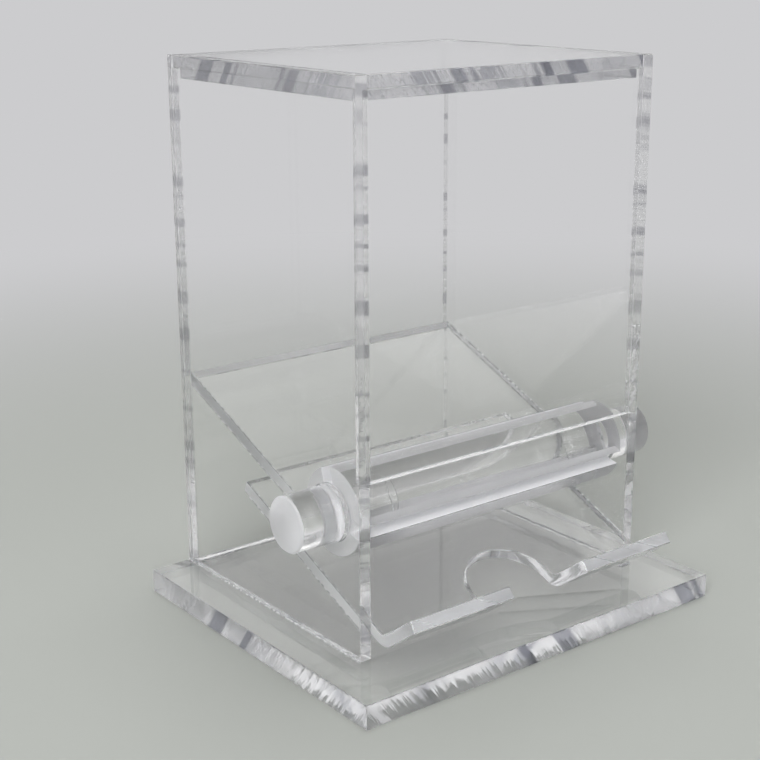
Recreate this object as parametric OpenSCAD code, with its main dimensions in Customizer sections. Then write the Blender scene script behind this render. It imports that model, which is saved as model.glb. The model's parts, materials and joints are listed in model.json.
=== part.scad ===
// Roller dispenser for thin wooden sticks, made of clear acrylic sheet and rod.
// The sticks lie across a sloped hopper floor. A grooved roller is turned by the
// knobs at its ends, takes one stick at a time over the front and drops it on a
// second slope, where it rolls forward into a turned-up lip with a finger notch.
// Origin: centre of the underside of the base. +X right, +Y back, +Z up.

/* [Box] */
// Thickness of the sheet of the walls, ramp, chute and lid top
sheet_t = 3; // [2:0.5:4]
// Clear width between the side panels, a little over the length of a stick
inner_w = 82; // [70:1:100]
// Depth of the side panels, front to back
box_d = 75; // [68:1:90]
// Height of the side panels above the base
side_h = 130.5; // [110:0.5:170]
// Height of the lower edge of the front panel above the base
front_gap_h = 42; // [41.5:0.5:44]

/* [Base] */
// Thickness of the base plate
base_t = 6; // [4:0.5:10]
// How far the base stands out at each side
base_side = 11; // [5:0.5:20]
// How far the base stands out in front
base_front = 16.5; // [15:0.5:25]

/* [Lid] */
// Thickness of the locating plate under the lid top
locator_t = 2.5; // [2:0.5:4]
// Clearance between the lid and each wall around it
lid_gap = 0.3; // [0.2:0.1:0.6]

/* [Ramp and chute] */
// Slope of the ramp and of the chute, in degrees
slope = 23; // [20:1:26]
// Height above the base of the ramp's top surface where it meets the back panel
ramp_h = 52; // [50:0.5:54]
// Gap between the ramp's lower end and the drum
ramp_gap = 1; // [0.5:0.25:1.5]
// How far the chute's top surface lies below the line of the ramp's
chute_drop = 12; // [11:0.5:12]
// Distance of the chute's rear end from the front of the box
chute_rear = 47.5; // [40:0.5:60]
// Distance of the bend from the front of the box, outwards
bend_out = 4.5; // [4:0.5:6]
// Inner radius of the bend
bend_r = 2; // [1:0.5:3]
// Length of the turned-up lip from the bend's corner
lip_len = 12; // [8:0.5:13]
// Rise of the lip above the horizontal, in degrees
lip_rise = 37; // [30:1:45]
// Width of the finger notch
notch_w = 23.4; // [18:0.2:30]
// Distance up the chute from the bend's corner to the centre of the notch's round end
notch_up = 1.8; // [1:0.2:4]

/* [Roller] */
// Distance of the roller's axis behind the front of the box
axis_in = 12.2; // [12:0.1:12.6]
// Height of the roller's axis above the base
axis_h = 32.4; // [32:0.1:32.8]
// Diameter of the drum
drum_d = 21; // [20:0.1:21.2]
// Gap between each end of the drum and the side panel
drum_gap = 0.5; // [0.3:0.1:1]
// Diameter of the knobs
knob_d = 13.3; // [10:0.1:14]
// How far each knob stands out of its side panel
knob_out = 11.35; // [6:0.05:14]
// Chamfer around the knob's free end
knob_chamfer = 0.4; // [0.2:0.1:1]
// Radial clearance of the knobs in the side panels' holes
knob_fit = 0.1; // [0.05:0.01:0.1]
// Diameter of the spigot that joins a knob to the drum
spigot_d = 5; // [4:0.1:6]
// Length of the spigot
spigot_len = 12.5; // [6:0.5:14]
// Radial room for glue around the spigot and behind its end
glue_gap = 0.05; // [0.03:0.01:0.1]
// Number of lengthwise grooves
groove_count = 3; // [1:1:4]
// Width of a groove
groove_w = 3.5; // [2.5:0.1:4]
// Depth of a groove from the drum's surface
groove_depth = 3.8; // [2.5:0.1:4]
// Direction of the first groove's mouth from the back, turning upwards, in degrees
groove_turn = 194; // [180:1:210]

/* [Hidden] */

$fn = 96;

// Colours
clear_sheet = [0.86, 0.91, 0.92, 0.4];
clear_edge = [0.78, 0.85, 0.86, 0.5];
frosted_rod = [0.93, 0.94, 0.97, 0.8];

// A small overlap, so that a cut runs past the face it opens
cut = 1;

// The box
box_w = inner_w + 2 * sheet_t;
base_w = box_w + 2 * base_side;
base_d = box_d + base_front;
front_y = base_front - base_d / 2;
rear_y = base_d / 2;
inner_front_y = front_y + sheet_t;
inner_rear_y = rear_y - sheet_t;
floor_z = base_t;
top_z = floor_z + side_h;
lid_seat_z = top_z - sheet_t;

// The ramp's and the chute's top surfaces
ramp_top_z = floor_z + ramp_h;
fall = tan(slope);
sheet_rise = sheet_t / cos(slope);

// The roller
axis_y = front_y + axis_in;
axis_z = floor_z + axis_h;
drum_r = drum_d / 2;
drum_len = inner_w - 2 * drum_gap;
knob_reach = box_w / 2 + knob_out;

// Height of the ramp's top surface at a given depth
function ramp_z(y) = ramp_top_z - (inner_rear_y - y) * fall;

// Height of the chute's top surface at a given depth
function chute_z(y) = ramp_z(y) - chute_drop;

// A point at a distance along a direction in the Y-Z plane
function along(p, dist, angle) = p + dist * [cos(angle), sin(angle)];

// The ramp's lower end keeps its gap to the drum: it is found on the ramp's own
// line, measured from the point of that line that is nearest to the axis
axis_above_ramp = (axis_z - ramp_z(axis_y)) * cos(slope);
ramp_foot = along([axis_y, axis_z], axis_above_ramp, slope - 90);
ramp_reach = sqrt(pow(drum_r + ramp_gap, 2) - pow(axis_above_ramp, 2));
ramp_end = along(ramp_foot, ramp_reach, slope);

// The chute's bend: the corner of its top surfaces, and the centre of its arc
bend_y = front_y - bend_out;
bend_corner = [bend_y, chute_z(bend_y)];
bend_turn = slope + lip_rise;
bend_angle = 180 - bend_turn;
bend_mid = slope + bend_angle / 2;
bend_centre = along(bend_corner, bend_r / sin(bend_angle / 2), bend_mid);
bend_setback = bend_r / tan(bend_angle / 2);
// How far the two halves of the bend run into each other, in degrees
bend_overlap = 0.01;
chute_len = (front_y + chute_rear - bend_y) / cos(slope);

// Extrudes a profile drawn in the Y-Z plane along X, centred on X = 0
module along_x(width) {
    translate([-width / 2, 0, 0]) rotate([90, 0, 90]) linear_extrude(width) children();
}

// A cylinder along X that starts at x and runs towards +X
module rod_x(x, length, r, y, z) {
    translate([x, y, z]) rotate([0, 90, 0]) cylinder(h = length, r = r);
}

// A plain rectangular plate from its low corner to its high corner
module plate(low, high) {
    translate(low) cube(high - low);
}

module base_plate() {
    color(clear_edge)
        plate([-base_w / 2, -base_d / 2, 0], [base_w / 2, base_d / 2, base_t]);
}

// A side panel with the hole that a knob turns in
module side_panel(inner_x, outer_x) {
    low_x = min(inner_x, outer_x);
    difference() {
        plate([low_x, front_y, floor_z], [low_x + sheet_t, rear_y, top_z]);
        rod_x(low_x - cut, sheet_t + 2 * cut, knob_d / 2 + knob_fit, axis_y, axis_z);
    }
}

module left_side_panel() {
    color(clear_sheet) side_panel(-inner_w / 2, -box_w / 2);
}

module right_side_panel() {
    color(clear_sheet) side_panel(inner_w / 2, box_w / 2);
}

module back_panel() {
    color(clear_sheet)
        plate([-inner_w / 2, inner_rear_y, floor_z], [inner_w / 2, rear_y, lid_seat_z]);
}

module front_panel() {
    color(clear_sheet)
        plate([-inner_w / 2, front_y, floor_z + front_gap_h],
              [inner_w / 2, inner_front_y, lid_seat_z]);
}

// The sloped floor of the hopper: its rear end is cut upright to meet the back panel
module hopper_ramp() {
    low_end = along(ramp_end, sheet_t, slope - 90);
    color(clear_sheet)
        along_x(inner_w)
            polygon([ramp_end, low_end,
                     [inner_rear_y, ramp_top_z - sheet_rise], [inner_rear_y, ramp_top_z]]);
}

// One leg of the bent sheet in the bend's own frame: the bend's axis is Z, the middle
// of the bend lies towards +X, and the leg runs off towards -Y with half of the bend
module tray_leg(length) {
    rotate(-bend_turn / 2) translate([0, 0, -inner_w / 2]) {
        translate([bend_r, -length, 0]) cube([sheet_t, length, inner_w]);
        rotate_extrude(angle = bend_turn / 2 + bend_overlap)
            translate([bend_r, 0]) square([sheet_t, inner_w]);
    }
}

// The chute and its lip, one heat-bent sheet
module bent_sheet() {
    translate([0, bend_centre.x, bend_centre.y])
        rotate([bend_mid - 180, 0, 0]) rotate([90, 0, 90]) {
            tray_leg(lip_len - bend_setback);
            mirror([0, 1, 0]) tray_leg(chute_len - bend_setback);
        }
}

// The finger notch: a round end on the chute that runs straight out over the lip
module finger_notch() {
    centre = along(bend_corner, notch_up, slope);
    reach = 2 * lip_len;
    translate([0, centre.x, centre.y]) rotate([slope, 0, 0]) {
        translate([0, 0, -reach]) cylinder(h = 2 * reach, d = notch_w);
        translate([-notch_w / 2, -reach, -reach]) cube([notch_w, reach, 2 * reach]);
    }
}

module chute_tray() {
    color(clear_sheet)
        difference() {
            bent_sheet();
            finger_notch();
        }
}

// The lid's top plate drops in between the side panels and rests on front and back
module lid_top_plate() {
    half = inner_w / 2 - lid_gap;
    color(clear_edge) plate([-half, front_y, lid_seat_z], [half, rear_y, top_z]);
}

// Glued under the top plate, it fits inside all four walls
module lid_locating_plate() {
    half = inner_w / 2 - lid_gap;
    color(clear_sheet)
        plate([-half, inner_front_y + lid_gap, lid_seat_z - locator_t],
              [half, inner_rear_y - lid_gap, lid_seat_z]);
}

// The profile of one square-bottomed groove: it runs outwards from its floor along +X
module groove_profile() {
    translate([drum_r - groove_depth, -groove_w / 2]) square([groove_depth + cut, groove_w]);
}

// The drum, with its lengthwise grooves and a blind bore in each end
module roller_drum() {
    bore_len = spigot_len + glue_gap;
    bore_r = spigot_d / 2 + glue_gap;
    color(frosted_rod)
        difference() {
            rod_x(-drum_len / 2, drum_len, drum_r, axis_y, axis_z);
            for (i = [0 : groove_count - 1])
                along_x(drum_len + 2 * cut)
                    translate([axis_y, axis_z]) rotate(groove_turn + i * 360 / groove_count)
                        groove_profile();
            rod_x(-drum_len / 2 - cut, bore_len + cut, bore_r, axis_y, axis_z);
            rod_x(drum_len / 2 - bore_len, bore_len + cut, bore_r, axis_y, axis_z);
        }
}

// A knob along +X: the spigot in the drum, the shoulder on its end, and the grip
module knob() {
    knob_r = knob_d / 2;
    translate([0, axis_y, axis_z]) rotate([0, 90, 0])
        rotate_extrude()
            polygon([[0, drum_len / 2 - spigot_len],
                     [spigot_d / 2, drum_len / 2 - spigot_len],
                     [spigot_d / 2, drum_len / 2],
                     [knob_r, drum_len / 2],
                     [knob_r, knob_reach - knob_chamfer],
                     [knob_r - knob_chamfer, knob_reach],
                     [0, knob_reach]]);
}

module left_knob() {
    color(frosted_rod) mirror([1, 0, 0]) knob();
}

module right_knob() {
    color(frosted_rod) knob();
}

base_plate();
left_side_panel();
right_side_panel();
back_panel();
front_panel();
hopper_ramp();
chute_tray();
lid_top_plate();
lid_locating_plate();
roller_drum();
left_knob();
right_knob();
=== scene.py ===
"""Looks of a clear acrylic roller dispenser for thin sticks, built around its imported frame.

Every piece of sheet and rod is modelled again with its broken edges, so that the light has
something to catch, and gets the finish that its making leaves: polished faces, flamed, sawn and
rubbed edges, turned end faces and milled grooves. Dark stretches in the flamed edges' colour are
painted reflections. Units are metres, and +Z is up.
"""
import json
import math

import bmesh
import bpy
from mathutils import Matrix, Vector


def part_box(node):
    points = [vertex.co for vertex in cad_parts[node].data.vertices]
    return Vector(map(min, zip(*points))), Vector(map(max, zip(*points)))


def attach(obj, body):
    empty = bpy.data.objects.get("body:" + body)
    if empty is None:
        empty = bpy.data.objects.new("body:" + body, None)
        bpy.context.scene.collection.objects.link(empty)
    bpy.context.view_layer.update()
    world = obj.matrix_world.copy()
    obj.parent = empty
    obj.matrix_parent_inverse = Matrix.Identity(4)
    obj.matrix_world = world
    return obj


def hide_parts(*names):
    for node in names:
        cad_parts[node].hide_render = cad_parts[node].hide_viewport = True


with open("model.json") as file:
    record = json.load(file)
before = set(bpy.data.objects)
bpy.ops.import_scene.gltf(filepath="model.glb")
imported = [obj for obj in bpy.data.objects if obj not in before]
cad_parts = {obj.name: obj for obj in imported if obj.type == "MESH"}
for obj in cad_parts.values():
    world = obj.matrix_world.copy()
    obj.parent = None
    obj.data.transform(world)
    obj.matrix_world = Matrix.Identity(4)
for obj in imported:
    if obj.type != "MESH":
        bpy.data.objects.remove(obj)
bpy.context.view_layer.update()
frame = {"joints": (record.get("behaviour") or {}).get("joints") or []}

MM = 0.001

# Sizes that the frame's boxes don't give
SHEET = 3 * MM
SLOPE = math.radians(23)
LIP_RISE = math.radians(37)
BEND_RADIUS = 2 * MM
LIP_LENGTH = 12 * MM
NOTCH_WIDTH = 23.4 * MM
NOTCH_UP = 1.8 * MM
SPIGOT_RADIUS = 2.5 * MM
SPIGOT_LENGTH = 12.5 * MM
GLUE_GAP = 0.05 * MM
KNOB_FIT = 0.1 * MM
GROOVE_COUNT = 3
GROOVE_WIDTH = 3.5 * MM
GROOVE_DEPTH = 3.8 * MM
GROOVE_TURN = math.radians(194)

# A sheet's edges are broken with a scraper before gluing, the drum's with fine paper, and the
# knobs are chamfered on the lathe
SHEET_CHAMFER = 0.2 * MM
DRUM_CHAMFER = 0.15 * MM
KNOB_CHAMFER = 0.4 * MM
# Glued faces run this far into each other, so that light crosses them as in one piece
BONDED = 0.02 * MM
# Leg of the small fillet that solvent cement leaves along a joint
FILLET = 0.3 * MM

# Facets around a rod, around a spigot's bore and along the chute's bend
ROUND_STEPS = 128
BORE_STEPS = 64
BEND_STEPS = 16
# Faces that meet at less than this are shaded as one round surface
SMOOTH_BELOW = math.radians(30)
# Points closer than this are doubles, which spin and extrude leave behind
MERGE_BELOW = 0.001 * MM


# ---------------------------------------------------------------- modelling

def only(piece):
    """Makes a piece the one selected and active object."""
    bpy.ops.object.select_all(action="DESELECT")
    piece.select_set(True)
    bpy.context.view_layer.objects.active = piece


def begin_edit(piece):
    """Opens a piece in edit mode, in face mode with everything selected."""
    only(piece)
    bpy.ops.object.mode_set(mode="EDIT")
    bpy.ops.mesh.select_mode(type="FACE")
    bpy.ops.mesh.select_all(action="SELECT")


def end_edit():
    bpy.ops.object.mode_set(mode="OBJECT")


def select_faces(piece, wanted):
    """Selects the faces whose centre and normal pass a test. Works in edit mode."""
    mesh = bmesh.from_edit_mesh(piece.data)
    for face in mesh.faces:
        face.select_set(wanted(face.calc_center_median(), face.normal))
    bmesh.update_edit_mesh(piece.data)


def settle(piece):
    """Puts a piece's place into its mesh and leaves its object at the origin."""
    only(piece)
    bpy.ops.object.transform_apply(location=True, rotation=True, scale=True)


def add_block(name, low, high):
    """A block between two corners."""
    low, high = Vector(low), Vector(high)
    bpy.ops.object.select_all(action="DESELECT")
    bpy.ops.mesh.primitive_cube_add(size=1, location=(low + high) / 2)
    piece = bpy.context.object
    piece.name = piece.data.name = name
    begin_edit(piece)
    bpy.ops.transform.resize(value=high - low, center_override=(low + high) / 2)
    end_edit()
    settle(piece)
    return piece


def add_rod(name, radius, start, end, steps=ROUND_STEPS):
    """A round rod between two points."""
    start, end = Vector(start), Vector(end)
    way = end - start
    bpy.ops.object.select_all(action="DESELECT")
    bpy.ops.mesh.primitive_cylinder_add(
        vertices=steps, radius=radius, depth=way.length, location=(start + end) / 2,
        rotation=way.to_track_quat("Z", "Y").to_euler())
    piece = bpy.context.object
    piece.name = piece.data.name = name
    settle(piece)
    return piece


def tilt(piece, angle, pivot):
    """Turns a piece about an axis along X, from +Y towards +Z."""
    begin_edit(piece)
    # With no window the operator turns the other way
    bpy.ops.transform.rotate(value=-angle, orient_axis="X", center_override=pivot)
    end_edit()


def apply_modifier(piece, kind, **settings):
    only(piece)
    modifier = piece.modifiers.new(kind.title(), kind)
    for key, value in settings.items():
        setattr(modifier, key, value)
    bpy.ops.object.modifier_apply(modifier=modifier.name)


def cut(piece, cutter):
    """Cuts one piece's shape out of another and deletes the cutter."""
    apply_modifier(piece, "BOOLEAN", object=cutter, operation="DIFFERENCE", solver="EXACT")
    bpy.data.objects.remove(cutter)


def break_edges(piece, width=SHEET_CHAMFER):
    """Chamfers the sharp edges and smooths the round faces between them."""
    apply_modifier(piece, "BEVEL", width=width, segments=1, limit_method="ANGLE",
                   angle_limit=SMOOTH_BELOW)
    only(piece)
    bpy.ops.object.shade_smooth_by_angle(angle=SMOOTH_BELOW)


def paint(piece, materials, which):
    """Gives each face the material whose number which(centre, normal) returns."""
    piece.data.materials.clear()
    for material in materials:
        piece.data.materials.append(material)
    for face in piece.data.polygons:
        face.material_index = which(face.center, face.normal)


def place(piece, body, slot, *nodes):
    """Rides a finished piece on its body in place of its CAD nodes."""
    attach(piece, body)
    if nodes:
        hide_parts(*nodes)


def in_slope(along_y, up, angle):
    """A direction in the Y-Z plane, given along and square to a slope."""
    return Vector((0, along_y * math.cos(angle) - up * math.sin(angle),
                   along_y * math.sin(angle) + up * math.cos(angle)))


# ---------------------------------------------------------------- materials

def linear(hex_colour):
    """An sRGB hex colour as a linear RGBA tuple."""
    values = [int(hex_colour[i:i + 2], 16) / 255 for i in (1, 3, 5)]
    return (*[v / 12.92 if v <= 0.04045 else ((v + 0.055) / 1.055) ** 2.4 for v in values], 1.0)


def add_node(tree, kind, settings=None, inputs=None, links=None):
    """Adds a node with its settings, its inputs' values and its links from other sockets."""
    node = tree.nodes.new(kind)
    for key, value in (settings or {}).items():
        setattr(node, key, value)
    for key, value in (inputs or {}).items():
        node.inputs[key].default_value = value
    for key, socket in (links or {}).items():
        tree.links.new(socket, node.inputs[key])
    return node


def new_material(name, **inputs):
    """A material with one Principled shader and its constants."""
    material = bpy.data.materials.new(name)
    material.use_nodes = True
    tree = material.node_tree
    tree.nodes.clear()
    shader = add_node(tree, "ShaderNodeBsdfPrincipled",
                      inputs={key.replace("_", " "): value for key, value in inputs.items()})
    add_node(tree, "ShaderNodeOutputMaterial", links={"Surface": shader.outputs["BSDF"]})
    return material, tree, shader


ACRYLIC_IOR = 1.49


def polished_acrylic_sheet():
    """Cast acrylic sheet as it comes from under its film: clear, with a faint handling haze."""
    material, tree, shader = new_material(
        "cast_acrylic_sheet_polished", Base_Color=linear("#FFFFFF"), IOR=ACRYLIC_IOR,
        Transmission_Weight=1.0)
    place_of = add_node(tree, "ShaderNodeTexCoord").outputs["Object"]
    haze = add_node(tree, "ShaderNodeTexNoise", inputs={"Scale": 1 / (25 * MM), "Detail": 3.0},
                    links={"Vector": place_of})
    rough = add_node(tree, "ShaderNodeMapRange",
                     inputs={"From Min": 0.45, "From Max": 0.75, "To Min": 0.0, "To Max": 0.025},
                     links={"Value": haze.outputs["Fac"]})
    tree.links.new(rough.outputs["Result"], shader.inputs["Roughness"])
    return material


def flamed_acrylic_edge(name, run, stretch, pale, dark):
    """A sheet's edge, sawn and then flame polished: clear and wavy where the saw marks melted.

    run is the direction in which the marks follow each other, and stretch the spacing of the
    dark stretches. These are painted reflections in the edge's colour, standing in for what a room
    mirrors in such an edge.
    """
    material, tree, shader = new_material(
        name, Base_Color=linear("#FDFDFD"), IOR=ACRYLIC_IOR, Transmission_Weight=0.9)
    place_of = add_node(tree, "ShaderNodeTexCoord").outputs["Object"]
    along = add_node(tree, "ShaderNodeVectorMath", {"operation": "DOT_PRODUCT"},
                     inputs={1: run}, links={0: place_of})
    marks = add_node(tree, "ShaderNodeTexNoise", {"noise_dimensions": "1D"},
                     inputs={"Scale": 1 / (2.2 * MM), "Detail": 3.0},
                     links={"W": along.outputs["Value"]})
    waves = add_node(tree, "ShaderNodeTexNoise", inputs={"Scale": 1 / (6 * MM), "Detail": 2.0},
                     links={"Vector": place_of})
    height = add_node(tree, "ShaderNodeMath", {"operation": "ADD"},
                      links={0: marks.outputs["Fac"], 1: waves.outputs["Fac"]})
    # Painted reflections: dark stretches in the colour, as the sheet's long edges mirror a room
    stretches = add_node(tree, "ShaderNodeTexNoise", {"noise_dimensions": "1D"},
                         inputs={"Scale": 1 / stretch, "Detail": 2.0},
                         links={"W": along.outputs["Value"]})
    shade = add_node(tree, "ShaderNodeMapRange", {"interpolation_type": "SMOOTHSTEP"},
                     inputs={"From Min": 0.53, "From Max": 0.6},
                     links={"Value": stretches.outputs["Fac"]})
    colour = add_node(tree, "ShaderNodeMix", {"data_type": "RGBA"},
                      inputs={"A": linear(pale), "B": linear(dark)},
                      links={"Factor": shade.outputs["Result"]})
    tree.links.new(colour.outputs["Result"], shader.inputs["Base Color"])
    rough = add_node(tree, "ShaderNodeMapRange",
                     inputs={"From Min": 0.7, "From Max": 1.3, "To Min": 0.02, "To Max": 0.2},
                     links={"Value": height.outputs["Value"]})
    bump = add_node(tree, "ShaderNodeBump", inputs={"Strength": 0.5, "Distance": 0.25 * MM},
                    links={"Height": height.outputs["Value"]})
    tree.links.new(rough.outputs["Result"], shader.inputs["Roughness"])
    tree.links.new(bump.outputs["Normal"], shader.inputs["Normal"])
    return material


def sawn_acrylic_edge():
    """An edge as the saw or drill left it: finely frosted, with leaning marks."""
    material, tree, shader = new_material(
        "cast_acrylic_sheet_sawn_edge", Base_Color=linear("#E2E3E6"), IOR=ACRYLIC_IOR,
        Transmission_Weight=0.7)
    place_of = add_node(tree, "ShaderNodeTexCoord").outputs["Object"]
    along = add_node(tree, "ShaderNodeVectorMath", {"operation": "DOT_PRODUCT"},
                     inputs={1: (0.6, 0.7, 1.0)}, links={0: place_of})
    marks = add_node(tree, "ShaderNodeTexNoise", {"noise_dimensions": "1D"},
                     inputs={"Scale": 1 / (1.5 * MM), "Detail": 3.0},
                     links={"W": along.outputs["Value"]})
    rough = add_node(tree, "ShaderNodeMapRange",
                     inputs={"From Min": 0.3, "From Max": 0.7, "To Min": 0.25, "To Max": 0.5},
                     links={"Value": marks.outputs["Fac"]})
    bump = add_node(tree, "ShaderNodeBump", inputs={"Strength": 0.4, "Distance": 0.2 * MM},
                    links={"Height": marks.outputs["Fac"]})
    tree.links.new(rough.outputs["Result"], shader.inputs["Roughness"])
    tree.links.new(bump.outputs["Normal"], shader.inputs["Normal"])
    return material


def rubbed_acrylic_edge():
    """An edge rubbed down with fine paper, as it is for gluing: half clear."""
    return new_material(
        "cast_acrylic_sheet_rubbed_edge", Base_Color=linear("#F2F3F4"), IOR=ACRYLIC_IOR,
        Roughness=0.35, Transmission_Weight=1.0)[0]


def polished_acrylic_rod():
    """The rod's own skin: clear, with faint lines drawn along it."""
    material, tree, shader = new_material(
        "cast_acrylic_rod_polished", Base_Color=linear("#FFFFFF"), IOR=ACRYLIC_IOR,
        Transmission_Weight=1.0)
    place_of = add_node(tree, "ShaderNodeTexCoord").outputs["Object"]
    # Stretched along X, the rod's length
    stretch = add_node(tree, "ShaderNodeMapping", inputs={"Scale": (0.03, 1.0, 1.0)},
                       links={"Vector": place_of})
    lines = add_node(tree, "ShaderNodeTexNoise", inputs={"Scale": 1 / (0.8 * MM), "Detail": 2.0},
                     links={"Vector": stretch.outputs["Vector"]})
    rough = add_node(tree, "ShaderNodeMapRange",
                     inputs={"From Min": 0.35, "From Max": 0.7, "To Min": 0.02, "To Max": 0.14},
                     links={"Value": lines.outputs["Fac"]})
    bump = add_node(tree, "ShaderNodeBump", inputs={"Strength": 0.3, "Distance": 0.1 * MM},
                    links={"Height": lines.outputs["Fac"]})
    tree.links.new(rough.outputs["Result"], shader.inputs["Roughness"])
    tree.links.new(bump.outputs["Normal"], shader.inputs["Normal"])
    return material


def turned_acrylic(name, axis_point, clearness):
    """End faces cut on a lathe: frosted white, with fine rings round the axis.

    clearness is the share of the light that passes, more where the face is rubbed smooth.
    """
    material, tree, shader = new_material(
        name, Base_Color=linear("#FBFBFD"), IOR=ACRYLIC_IOR, Roughness=0.6,
        Transmission_Weight=clearness)
    place_of = add_node(tree, "ShaderNodeTexCoord").outputs["Object"]
    centred = add_node(tree, "ShaderNodeMapping",
                       inputs={"Location": (0, -axis_point.y, -axis_point.z),
                               "Scale": (0.0, 1.0, 1.0)},
                       links={"Vector": place_of})
    radius = add_node(tree, "ShaderNodeVectorMath", {"operation": "LENGTH"},
                      links={0: centred.outputs["Vector"]})
    # The tool's feed is far finer than shows here, so the rings are drawn 0.6 mm apart
    rings = add_node(tree, "ShaderNodeTexNoise", {"noise_dimensions": "1D"},
                     inputs={"Scale": 1 / (0.6 * MM), "Detail": 2.0},
                     links={"W": radius.outputs["Value"]})
    bump = add_node(tree, "ShaderNodeBump", inputs={"Strength": 0.35, "Distance": 0.15 * MM},
                    links={"Height": rings.outputs["Fac"]})
    tree.links.new(bump.outputs["Normal"], shader.inputs["Normal"])
    return material


def milled_acrylic():
    """Groove walls cut along the rod: frosted white, with the cutter's lines along X."""
    material, tree, shader = new_material(
        "cast_acrylic_rod_milled_groove", Base_Color=linear("#FDFDFF"), IOR=ACRYLIC_IOR,
        Transmission_Weight=0.08)
    place_of = add_node(tree, "ShaderNodeTexCoord").outputs["Object"]
    stretch = add_node(tree, "ShaderNodeMapping", inputs={"Scale": (0.02, 1.0, 1.0)},
                       links={"Vector": place_of})
    lines = add_node(tree, "ShaderNodeTexNoise", inputs={"Scale": 1 / (0.7 * MM), "Detail": 3.0},
                     links={"Vector": stretch.outputs["Vector"]})
    rough = add_node(tree, "ShaderNodeMapRange",
                     inputs={"From Min": 0.3, "From Max": 0.7, "To Min": 0.35, "To Max": 0.6},
                     links={"Value": lines.outputs["Fac"]})
    bump = add_node(tree, "ShaderNodeBump", inputs={"Strength": 0.3, "Distance": 0.1 * MM},
                    links={"Height": lines.outputs["Fac"]})
    tree.links.new(rough.outputs["Result"], shader.inputs["Roughness"])
    tree.links.new(bump.outputs["Normal"], shader.inputs["Normal"])
    return material


def cured_cement():
    """Solvent cement that crept out of a joint and dried: clear to milky, with fine bubbles."""
    material, tree, shader = new_material(
        "solvent_cement_dried", Base_Color=linear("#F6F8F8"), IOR=ACRYLIC_IOR,
        Transmission_Weight=0.6)
    place_of = add_node(tree, "ShaderNodeTexCoord").outputs["Object"]
    bubbles = add_node(tree, "ShaderNodeTexNoise", inputs={"Scale": 1 / (1.2 * MM), "Detail": 3.0},
                       links={"Vector": place_of})
    rough = add_node(tree, "ShaderNodeMapRange",
                     inputs={"From Min": 0.35, "From Max": 0.65, "To Min": 0.1, "To Max": 0.4},
                     links={"Value": bubbles.outputs["Fac"]})
    tree.links.new(rough.outputs["Result"], shader.inputs["Roughness"])
    return material


joint_at = {joint["name"]: Vector(joint.get("pos_m", (0, 0, 0))) for joint in frame["joints"]}
axis = joint_at["roller_spin"]

SHEET_FACE = polished_acrylic_sheet()
# Along a level edge the saw marks lean; up a wall's edge they lie almost level
# Each edge's second colour is the dark of its painted reflections
LEVEL_EDGE = flamed_acrylic_edge("cast_acrylic_sheet_flamed_level_edge", (1.0, 1.0, 0.7),
                                 11 * MM, "#EEEEF0", "#7F818C")
UPRIGHT_EDGE = flamed_acrylic_edge("cast_acrylic_sheet_flamed_upright_edge", (0.15, 0.15, 1.0),
                                   5 * MM, "#FDFDFD", "#C4C4C8")
SAWN_EDGE = sawn_acrylic_edge()
RUBBED_EDGE = rubbed_acrylic_edge()
ROD_SKIN = polished_acrylic_rod()
ROD_END = turned_acrylic("cast_acrylic_rod_turned_shoulder", axis, 0.25)
KNOB_END = turned_acrylic("cast_acrylic_rod_turned_and_rubbed_end", axis, 0.65)
GROOVE_WALL = milled_acrylic()
CEMENT = cured_cement()


# ---------------------------------------------------------------- sheets

def paint_sheet(piece, thin_axis, upright=False, rubbed=None):
    """Finishes a piece of sheet: its two faces, then its edges, level or up the sides of a wall.

    rubbed(normal) tells which edges are rubbed down instead of flamed.
    """
    def finish_of(centre, normal):
        if abs(normal.dot(thin_axis)) > 0.9:
            return 0
        if rubbed and rubbed(normal):
            return 3
        return 2 if upright and abs(normal.z) < 0.5 else 1

    paint(piece, [SHEET_FACE, LEVEL_EDGE, UPRIGHT_EDGE, RUBBED_EDGE], finish_of)


def add_plate(node, thin_axis, grow=(0, 0, 0), upright=False, rubbed=None):
    """A flat plate in a node's box, grown into what it's glued to, with its broken edges."""
    low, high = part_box(node)
    piece = add_block(node + "_sheet", low - Vector(grow), high + Vector(grow))
    break_edges(piece)
    paint_sheet(piece, thin_axis, upright, rubbed)
    return piece


def make_base():
    piece = add_plate("base_plate", Vector((0, 0, 1)))
    place(piece, "housing", "clear_acrylic_sheet", "base_plate")


def make_side_panel(node):
    """A side panel: sawn from sheet, then drilled for its knob and the hole's rims broken."""
    low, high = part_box(node)
    piece = add_block(node + "_sheet", low - Vector((0, 0, BONDED)), high)
    hole_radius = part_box("left_knob")[1].z - axis.z + KNOB_FIT
    reach = Vector((high.x - low.x, 0, 0))
    start = Vector((low.x, axis.y, axis.z))
    cut(piece, add_rod("drill", hole_radius, start - reach, start + 2 * reach))
    break_edges(piece)
    paint_sheet(piece, Vector((1, 0, 0)), upright=True)
    piece.data.materials.append(SAWN_EDGE)
    for face in piece.data.polygons:
        if axis_distance(face.center) < hole_radius + MM and abs(face.normal.x) < 0.9:
            face.material_index = len(piece.data.materials) - 1
    place(piece, "housing", "clear_acrylic_sheet", node)


def make_walls():
    for node in ("left_side_panel", "right_side_panel"):
        make_side_panel(node)
    for node in ("back_panel", "front_panel"):
        piece = add_plate(node, Vector((0, 1, 0)), grow=(BONDED, 0, 0), upright=True,
                          rubbed=lambda normal: normal.z < -0.9)
        place(piece, "housing", "clear_acrylic_sheet", node)


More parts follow.
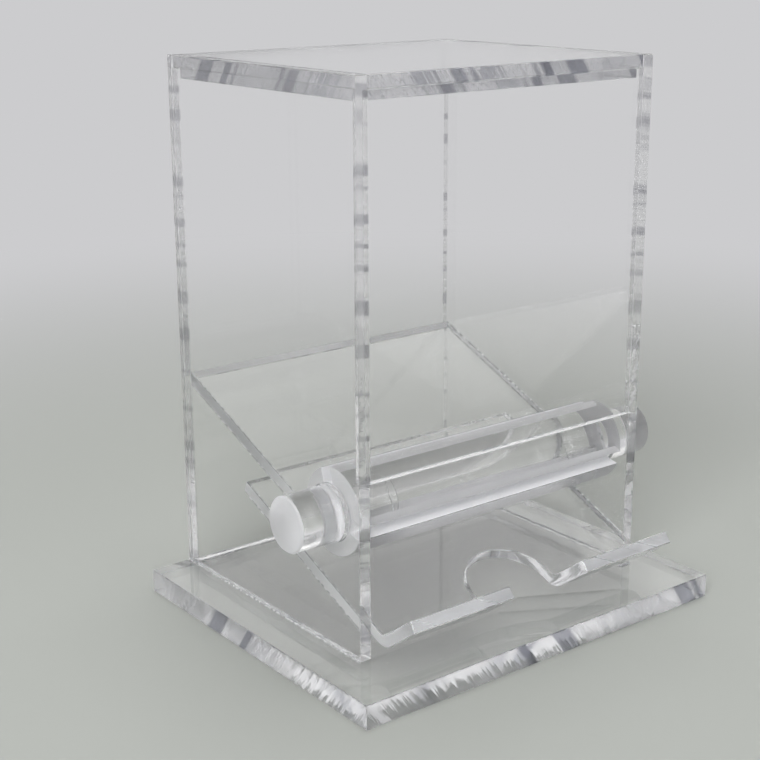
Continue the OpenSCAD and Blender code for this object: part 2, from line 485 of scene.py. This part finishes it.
def make_ramp():
    """The hopper's floor: a strip of sheet, tilted, with its rear end sawn upright."""
    low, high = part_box("hopper_ramp")
    front_top = Vector((0, low.y, low.z + SHEET * math.cos(SLOPE)))
    length = (high.y - front_top.y) / math.cos(SLOPE) + SHEET
    piece = add_block("hopper_ramp_sheet",
                      (low.x - BONDED, front_top.y, front_top.z - SHEET),
                      (high.x + BONDED, front_top.y + length, front_top.z))
    tilt(piece, SLOPE, front_top)
    begin_edit(piece)
    bpy.ops.mesh.bisect(plane_co=(0, high.y + BONDED, 0), plane_no=(0, 1, 0), use_fill=True,
                        clear_outer=True)
    end_edit()
    break_edges(piece)
    paint_sheet(piece, in_slope(0, 1, SLOPE),
                rubbed=lambda normal: abs(normal.x) > 0.9 or normal.y > 0.98)
    place(piece, "housing", "clear_acrylic_sheet", "hopper_ramp")


def make_chute():
    """The chute: a strip of sheet bent over a hot wire into its lip, then notched."""
    low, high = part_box("chute_tray")
    up = in_slope(0, 1, SLOPE)
    down_slope = in_slope(-1, 0, SLOPE)
    rear_top = Vector((0, high.y - SHEET * math.sin(SLOPE), high.z))
    bend_centre = rear_top + up * BEND_RADIUS
    run = (bend_centre.z - low.z - BEND_RADIUS - SHEET) / math.sin(SLOPE)
    bend_centre += down_slope * run
    turn = SLOPE + LIP_RISE
    setback = BEND_RADIUS * math.tan(turn / 2)

    piece = add_block("chute_tray_sheet",
                      (low.x - BONDED, rear_top.y - run, rear_top.z - SHEET),
                      (high.x + BONDED, rear_top.y, rear_top.z))
    tilt(piece, SLOPE, rear_top)
    begin_edit(piece)
    select_faces(piece, lambda centre, normal: normal.dot(down_slope) > 0.9)
    bpy.ops.mesh.spin(steps=BEND_STEPS, angle=turn, center=bend_centre, axis=(1, 0, 0))
    lip_way = in_slope(-1, 0, -LIP_RISE)
    bpy.ops.mesh.extrude_region_move(
        TRANSFORM_OT_translate={"value": lip_way * (LIP_LENGTH - setback)})
    bpy.ops.mesh.select_all(action="SELECT")
    bpy.ops.mesh.remove_doubles(threshold=MERGE_BELOW)
    bpy.ops.mesh.normals_make_consistent(inside=False)
    end_edit()

    # The notch's round end lies on the chute, just above the bend's corner
    corner = bend_centre - up * BEND_RADIUS + down_slope * setback
    notch = corner - down_slope * NOTCH_UP
    reach = 2 * LIP_LENGTH
    cutter = add_rod("hole_saw", NOTCH_WIDTH / 2, notch - up * reach, notch + up * reach)
    begin_edit(cutter)
    select_faces(cutter, lambda centre, normal: normal.dot(down_slope) > 0.01)
    bpy.ops.mesh.extrude_region_move(TRANSFORM_OT_translate={"value": down_slope * reach})
    end_edit()
    cut(piece, cutter)
    break_edges(piece)

    def finish_of(centre, normal):
        if normal.dot(lip_way) > 0.9:
            return 2
        if abs(normal.x) > 0.9 and abs(centre.x) > high.x - MM:
            return 3
        ends = abs(normal.x) > 0.5 or normal.dot(-down_slope) > 0.9
        return 1 if ends or abs(normal.dot(up)) < 0.3 else 0

    paint(piece, [SHEET_FACE, LEVEL_EDGE, SAWN_EDGE, RUBBED_EDGE], finish_of)
    place(piece, "housing", "clear_acrylic_sheet", "chute_tray")


def make_lid():
    """The lid: a top plate, and under it the smaller plate that keeps it between the walls."""
    piece = add_plate("lid_top_plate", Vector((0, 0, 1)))
    place(piece, "lid", "clear_acrylic_sheet", "lid_top_plate")
    low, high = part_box("lid_locating_plate")
    piece = add_block("lid_locating_plate_sheet", low, high + Vector((0, 0, BONDED)))
    break_edges(piece)
    paint_sheet(piece, Vector((0, 0, 1)))
    place(piece, "lid", "clear_acrylic_sheet", "lid_locating_plate")


# ---------------------------------------------------------------- roller

def axis_distance(point):
    """How far a point lies from the roller's axis."""
    return math.hypot(point.y - axis.y, point.z - axis.z)


def make_drum():
    """The drum: a length of rod, bored at both ends for the spigots and milled with grooves."""
    low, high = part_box("roller_drum")
    radius = high.z - axis.z
    ends = [Vector((x, axis.y, axis.z)) for x in (low.x, high.x)]
    piece = add_rod("roller_drum_rod", radius, *ends)

    for i in range(GROOVE_COUNT):
        cutter = add_block(
            "slot_cutter",
            (low.x - MM, axis.y + radius - GROOVE_DEPTH, axis.z - GROOVE_WIDTH / 2),
            (high.x + MM, axis.y + radius + MM, axis.z + GROOVE_WIDTH / 2))
        tilt(cutter, GROOVE_TURN + i * math.tau / GROOVE_COUNT, axis)
        cut(piece, cutter)

    for end, inward in zip(ends, (1, -1)):
        deep = Vector((inward * (SPIGOT_LENGTH + GLUE_GAP), 0, 0))
        out = Vector((-inward * MM, 0, 0))
        cut(piece, add_rod("drill", SPIGOT_RADIUS + GLUE_GAP, end + out, end + deep, BORE_STEPS))
    break_edges(piece, DRUM_CHAMFER)

    def finish_of(centre, normal):
        if abs(normal.x) > 0.5:
            return 1 if abs(centre.x) > high.x - MM else 0
        off_axis = axis_distance(centre)
        bored = off_axis < SPIGOT_RADIUS + MM / 2
        return 0 if bored or off_axis > 0.98 * radius else 2

    paint(piece, [ROD_SKIN, ROD_END, GROOVE_WALL], finish_of)
    place(piece, "roller", "clear_acrylic_rod", "roller_drum")


def make_knob(node, side):
    """A knob: a length of rod with its outer rim chamfered and its spigot turned down.

    The cement around the spigot has filled its bore, so the spigot is drawn as thick as the bore.
    """
    low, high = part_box(node)
    outer = high.x if side > 0 else -low.x
    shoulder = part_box("roller_drum")[1].x + BONDED
    radius = high.z - axis.z
    start = Vector((side * shoulder, axis.y, axis.z))
    end = Vector((side * outer, axis.y, axis.z))
    piece = add_rod(node + "_rod", radius, start, end)
    begin_edit(piece)
    select_faces(piece, lambda centre, normal: normal.x * side < -0.9)
    bpy.ops.mesh.inset(thickness=radius - SPIGOT_RADIUS - GLUE_GAP - BONDED)
    bpy.ops.mesh.extrude_region_move(
        TRANSFORM_OT_translate={"value": (-side * (SPIGOT_LENGTH + GLUE_GAP + 2 * BONDED), 0, 0)})
    select_faces(piece, lambda centre, normal: normal.x * side > 0.9)
    bpy.ops.mesh.bevel(offset=KNOB_CHAMFER, segments=1, affect="EDGES")
    end_edit()
    only(piece)
    bpy.ops.object.shade_smooth_by_angle(angle=SMOOTH_BELOW)

    def finish_of(centre, normal):
        if abs(normal.x) < 0.5 or centre.x * side < shoulder - MM:
            return 0
        return 2 if normal.x * side > 0 else 1

    paint(piece, [ROD_SKIN, ROD_END, KNOB_END], finish_of)
    place(piece, "roller", "clear_acrylic_rod", node)


# ---------------------------------------------------------------- cement

def add_fillet(name, start, end, first, second):
    """A hollow-faced fillet of cement along a corner, its legs on the two glued faces."""
    start, end, first, second = (Vector(v) for v in (start, end, first, second))
    way = (end - start).normalized()
    piece = add_block(name, (-BONDED, -BONDED, 0), (FILLET, FILLET, (end - start).length))
    begin_edit(piece)
    mesh = bmesh.from_edit_mesh(piece.data)
    bpy.ops.mesh.select_mode(type="EDGE")
    bpy.ops.mesh.select_all(action="DESELECT")
    for edge in mesh.edges:
        edge.select_set(all(min(vert.co.x, vert.co.y) > FILLET / 2 for vert in edge.verts))
    bmesh.update_edit_mesh(piece.data)
    # A profile below 0.5 hollows the bevel
    bpy.ops.mesh.bevel(offset=FILLET * 0.9, segments=4, profile=0.25, affect="EDGES")
    end_edit()
    turn = Matrix((first, second, way)).transposed().to_4x4()
    piece.matrix_world = Matrix.Translation(start) @ turn
    settle(piece)
    if turn.determinant() < 0:
        begin_edit(piece)
        bpy.ops.mesh.normals_make_consistent(inside=False)
        end_edit()
    only(piece)
    bpy.ops.object.shade_smooth_by_angle(angle=SMOOTH_BELOW)
    paint(piece, [CEMENT], lambda centre, normal: 0)
    return piece


def add_slope_cement(name, top_point, front_y, rear_y, inner_x):
    """Fillets above and below a sloping sheet, where its ends meet the two side panels."""
    along, up = in_slope(1, 0, SLOPE), in_slope(0, 1, SLOPE)
    for layer, height, way in (("upper", 0, up), ("lower", -SHEET, -up)):
        on_face = top_point + up * height
        ends = [on_face + along * ((y - on_face.y) / math.cos(SLOPE)) for y in (front_y, rear_y)]
        for side_name, side in (("left", -1), ("right", 1)):
            start, end = (Vector((side * inner_x, point.y, point.z)) for point in ends)
            place(add_fillet(f"cement_{name}_{layer}_{side_name}", start, end,
                             (-side, 0, 0), way), "housing", "clear_acrylic_sheet")


def make_cement():
    """The fillets that show: along the foot of the box, and where ramp and chute meet the walls."""
    left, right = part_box("left_side_panel"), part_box("right_side_panel")
    floor_z = left[0].z
    up = Vector((0, 0, 1))
    for name, x, out in (("left", left[0].x, -1), ("right", right[1].x, 1)):
        place(add_fillet("cement_base_" + name, (x, left[0].y, floor_z), (x, left[1].y, floor_z),
                         (out, 0, 0), up), "housing", "clear_acrylic_sheet")

    low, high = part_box("hopper_ramp")
    ramp_top = Vector((0, low.y, low.z + SHEET * math.cos(SLOPE)))
    add_slope_cement("ramp", ramp_top, low.y + SHEET, high.y, high.x)
    low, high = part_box("chute_tray")
    chute_top = Vector((0, high.y - SHEET * math.sin(SLOPE), high.z))
    add_slope_cement("chute", chute_top, left[0].y, chute_top.y - MM, high.x)


make_base()
make_walls()
make_ramp()
make_chute()
make_lid()
make_drum()
make_knob("left_knob", -1)
make_knob("right_knob", 1)
make_cement()


# ---------------------------------------------------------------- studio

FLOOR_COLOUR = "#B3B6B1"
BACKDROP_COLOUR = "#CCCCCE"


def seen_directly(tree):
    """1 for what the camera sees, also by way of gloss or clear pieces, and 0 for cast light."""
    path = add_node(tree, "ShaderNodeLightPath")
    either = add_node(tree, "ShaderNodeMath", {"operation": "MAXIMUM"},
                      links={0: path.outputs["Is Camera Ray"], 1: path.outputs["Is Glossy Ray"]})
    return add_node(tree, "ShaderNodeMath", {"operation": "MAXIMUM"},
                    links={0: either.outputs["Value"],
                           1: path.outputs["Is Transmission Ray"]}).outputs["Value"]


def make_floor():
    """A plain pale floor, just under the base, that runs out into the backdrop's colour."""
    bpy.ops.object.select_all(action="DESELECT")
    bpy.ops.mesh.primitive_circle_add(vertices=64, radius=30.0, fill_type="NGON",
                                      location=(0, 0, -0.05 * MM))
    floor = bpy.context.object
    floor.name = "floor"
    material, tree, shader = new_material("matt_floor", Base_Color=linear(FLOOR_COLOUR),
                                          Roughness=0.7)
    place_of = add_node(tree, "ShaderNodeTexCoord").outputs["Object"]
    distance = add_node(tree, "ShaderNodeVectorMath", {"operation": "LENGTH"},
                        links={0: place_of})
    far = add_node(tree, "ShaderNodeMapRange", {"interpolation_type": "SMOOTHSTEP"},
                   inputs={"From Min": 0.12, "From Max": 0.5},
                   links={"Value": distance.outputs["Value"]})
    share = add_node(tree, "ShaderNodeMath", {"operation": "MULTIPLY"},
                     links={0: far.outputs["Result"], 1: seen_directly(tree)})
    glow = add_node(tree, "ShaderNodeEmission", inputs={"Color": linear(BACKDROP_COLOUR)})
    mix = add_node(tree, "ShaderNodeMixShader",
                   links={0: share.outputs["Value"], 1: shader.outputs["BSDF"],
                          2: glow.outputs["Emission"]})
    output = next(node for node in tree.nodes if node.type == "OUTPUT_MATERIAL")
    tree.links.new(mix.outputs["Shader"], output.inputs["Surface"])
    floor.data.materials.append(material)


def make_world():
    """A weak even light; camera, gloss and clear pieces see the backdrop, white from above."""
    world = bpy.data.worlds.new("studio")
    bpy.context.scene.world = world
    world.use_nodes = True
    tree = world.node_tree
    tree.nodes.clear()
    way = add_node(tree, "ShaderNodeTexCoord").outputs["Generated"]
    split = add_node(tree, "ShaderNodeSeparateXYZ", links={"Vector": way})
    height = add_node(tree, "ShaderNodeMapRange", {"interpolation_type": "SMOOTHSTEP"},
                      inputs={"From Min": 0.12, "From Max": 0.3},
                      links={"Value": split.outputs["Z"]})
    seen = add_node(tree, "ShaderNodeMix", {"data_type": "RGBA"},
                    inputs={"A": linear(BACKDROP_COLOUR), "B": linear("#FFFFFF")},
                    links={"Factor": height.outputs["Result"]})
    # Dark gaps between the light panels, a little above the horizon, draw lines in clear edges
    gaps = add_node(tree, "ShaderNodeTexNoise", inputs={"Scale": 2.6, "Detail": 1.0},
                    links={"Vector": way})
    gap = add_node(tree, "ShaderNodeMapRange", {"interpolation_type": "SMOOTHSTEP"},
                   inputs={"From Min": 0.5, "From Max": 0.58},
                   links={"Value": gaps.outputs["Fac"]})
    above = add_node(tree, "ShaderNodeMapRange", {"interpolation_type": "SMOOTHSTEP"},
                     inputs={"From Min": 0.05, "From Max": 0.15},
                     links={"Value": split.outputs["Z"]})
    below = add_node(tree, "ShaderNodeMapRange", {"interpolation_type": "SMOOTHSTEP"},
                     inputs={"From Min": 0.45, "From Max": 0.3},
                     links={"Value": split.outputs["Z"]})
    belt = add_node(tree, "ShaderNodeMath", {"operation": "MULTIPLY"},
                    links={0: above.outputs["Result"], 1: below.outputs["Result"]})
    share = add_node(tree, "ShaderNodeMath", {"operation": "MULTIPLY"},
                     links={0: belt.outputs["Value"], 1: gap.outputs["Result"]})
    gapped = add_node(tree, "ShaderNodeMix", {"data_type": "RGBA"},
                      inputs={"B": linear("#5C5A5E")},
                      links={"Factor": share.outputs["Value"], "A": seen.outputs["Result"]})
    lighting = add_node(tree, "ShaderNodeBackground",
                        inputs={"Color": linear("#FFFFFF"), "Strength": 0.15})
    shown = add_node(tree, "ShaderNodeBackground",
                     links={"Color": gapped.outputs["Result"]})
    mix = add_node(tree, "ShaderNodeMixShader",
                   links={0: seen_directly(tree), 1: lighting.outputs["Background"],
                          2: shown.outputs["Background"]})
    add_node(tree, "ShaderNodeOutputWorld", links={"Surface": mix.outputs["Shader"]})


def add_lamp(name, at, size, power):
    """A soft square lamp aimed at the middle of the object."""
    bpy.ops.object.select_all(action="DESELECT")
    aim = Vector((0, 0, 60 * MM)) - Vector(at)
    bpy.ops.object.light_add(type="AREA", location=at,
                             rotation=aim.to_track_quat("-Z", "Y").to_euler())
    lamp = bpy.context.object
    lamp.name = name
    lamp.data.size = size
    lamp.data.energy = power


def make_lights():
    add_lamp("window", (-1.0, -0.8, 0.9), 0.9, 20)
    add_lamp("ceiling", (0.1, 0.1, 1.2), 0.6, 6)


def make_camera():
    """The photograph's own viewpoint: heading from +Y towards +X, then pitch down and roll."""
    image_width = 760
    focal_pixels = 1481.35
    sensor_width = 36
    eye = Vector((-225.71, -271.22, 162.46)) * MM
    heading, pitch, roll = (math.radians(a) for a in (37.796, 16.533, -0.2996))
    bpy.ops.object.select_all(action="DESELECT")
    bpy.ops.object.camera_add(location=eye)
    camera = bpy.context.object
    camera.data.sensor_width = sensor_width
    camera.data.lens = sensor_width * focal_pixels / image_width
    camera.data.clip_start = 10 * MM
    turn = (Matrix.Rotation(-heading, 3, "Z") @ Matrix.Rotation(math.pi / 2 - pitch, 3, "X")
            @ Matrix.Rotation(roll, 3, "Z"))
    camera.rotation_euler = turn.to_euler()
    bpy.context.scene.camera = camera


make_floor()
make_world()
make_lights()
make_camera()

scene = bpy.context.scene
scene.view_settings.view_transform = "Standard"
# Light crosses many clear faces here: walls, ramp, drum and knobs in turn
scene.cycles.max_bounces = 96
scene.cycles.transmission_bounces = 96
scene.cycles.glossy_bounces = 64
# Frosted faces inside the clear drum pass the light on to each other many times
scene.cycles.diffuse_bounces = 32
